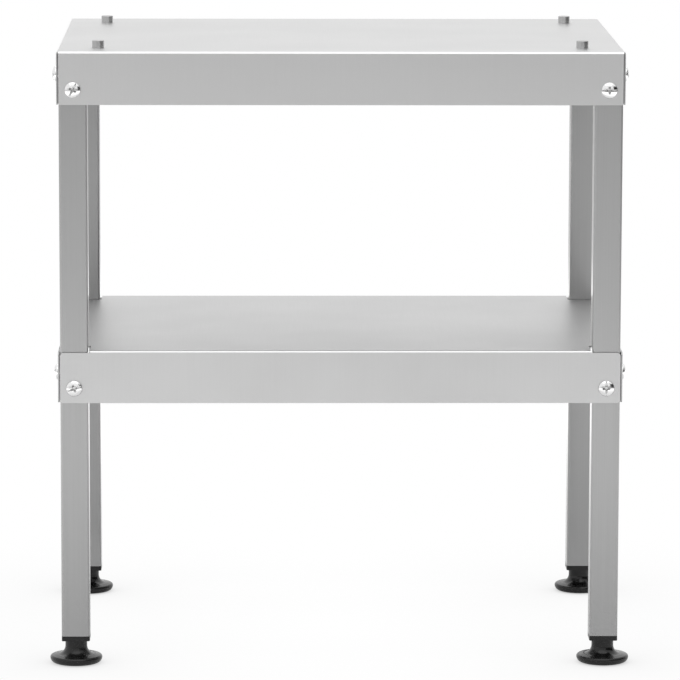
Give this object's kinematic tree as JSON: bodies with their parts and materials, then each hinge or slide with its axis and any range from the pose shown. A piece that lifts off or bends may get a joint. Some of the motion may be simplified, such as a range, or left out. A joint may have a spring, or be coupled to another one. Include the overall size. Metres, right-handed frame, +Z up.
{
  "type": "smoker stand",
  "caption": "Two-tier outdoor smoker stand: folded galvanised trays screwed to square-tube legs, locating pins on top and screw-in levelling feet.",
  "frame": {"origin": "on the floor under the middle of the stand, feet screwed right in", "axes": "+X to the stand's right seen from the front, -Y towards the front, +Z up"},
  "size_m": [0.4142, 0.2942, 0.444],
  "materials": {
    "galvanised_sheet": "satin zinc-coated sheet",
    "galvanised_tube": "satin zinc-coated tube",
    "plated_steel": "bright zinc plating",
    "turned_steel": "turned and polished",
    "black_plastic": "moulded, semi-matt"
  },
  "bodies": {
    "stand": {"top_tray": "galvanised_sheet", "lower_shelf": "galvanised_sheet", "leg_front_left": "galvanised_tube", "locating_pin_front_left": "turned_steel", "foot_insert_front_left": "black_plastic", "insert_nut_front_left": "plated_steel", "screws_front_left": "plated_steel", "rivet_nuts_front_left": "plated_steel", "leg_front_right": "galvanised_tube", "locating_pin_front_right": "turned_steel", "foot_insert_front_right": "black_plastic", "insert_nut_front_right": "plated_steel", "screws_front_right": "plated_steel", "rivet_nuts_front_right": "plated_steel", "leg_rear_left": "galvanised_tube", "locating_pin_rear_left": "turned_steel", "foot_insert_rear_left": "black_plastic", "insert_nut_rear_left": "plated_steel", "screws_rear_left": "plated_steel", "rivet_nuts_rear_left": "plated_steel", "leg_rear_right": "galvanised_tube", "locating_pin_rear_right": "turned_steel", "foot_insert_rear_right": "black_plastic", "insert_nut_rear_right": "plated_steel", "screws_rear_right": "plated_steel", "rivet_nuts_rear_right": "plated_steel"},
    "stud_front_left": {"levelling_stud_front_left": "plated_steel"},
    "foot_front_left": {"levelling_foot_front_left": "black_plastic"},
    "stud_front_right": {"levelling_stud_front_right": "plated_steel"},
    "foot_front_right": {"levelling_foot_front_right": "black_plastic"},
    "stud_rear_left": {"levelling_stud_rear_left": "plated_steel"},
    "foot_rear_left": {"levelling_foot_rear_left": "black_plastic"},
    "stud_rear_right": {"levelling_stud_rear_right": "plated_steel"},
    "foot_rear_right": {"levelling_foot_rear_right": "black_plastic"}
  },
  "joints": [
    {"name": "foot_rise_front_left", "type": "slide", "parent": "stand", "child": "stud_front_left", "axis": [0, 0, -1], "range_m": [0, 0.01]},
    {"name": "foot_turn_front_left", "type": "hinge", "parent": "stud_front_left", "child": "foot_front_left", "pos_m": [-0.1885, -0.1285, 0.01], "axis": [0, 0, -1], "range_deg": [0, 2880]},
    {"name": "foot_rise_front_right", "type": "slide", "parent": "stand", "child": "stud_front_right", "axis": [0, 0, -1], "range_m": [0, 0.01]},
    {"name": "foot_turn_front_right", "type": "hinge", "parent": "stud_front_right", "child": "foot_front_right", "pos_m": [0.1885, -0.1285, 0.01], "axis": [0, 0, -1], "range_deg": [0, 2880]},
    {"name": "foot_rise_rear_left", "type": "slide", "parent": "stand", "child": "stud_rear_left", "axis": [0, 0, -1], "range_m": [0, 0.01]},
    {"name": "foot_turn_rear_left", "type": "hinge", "parent": "stud_rear_left", "child": "foot_rear_left", "pos_m": [-0.1885, 0.1285, 0.01], "axis": [0, 0, -1], "range_deg": [0, 2880]},
    {"name": "foot_rise_rear_right", "type": "slide", "parent": "stand", "child": "stud_rear_right", "axis": [0, 0, -1], "range_m": [0, 0.01]},
    {"name": "foot_turn_rear_right", "type": "hinge", "parent": "stud_rear_right", "child": "foot_rear_right", "pos_m": [0.1885, 0.1285, 0.01], "axis": [0, 0, -1], "range_deg": [0, 2880]}
  ],
  "couplings": [
    {"joint": "foot_rise_front_left", "follows": "foot_turn_front_left", "m_per_rad": 0.00019894},
    {"joint": "foot_rise_front_right", "follows": "foot_turn_front_right", "m_per_rad": 0.00019894},
    {"joint": "foot_rise_rear_left", "follows": "foot_turn_rear_left", "m_per_rad": 0.00019894},
    {"joint": "foot_rise_rear_right", "follows": "foot_turn_rear_right", "m_per_rad": 0.00019894}
  ]
}
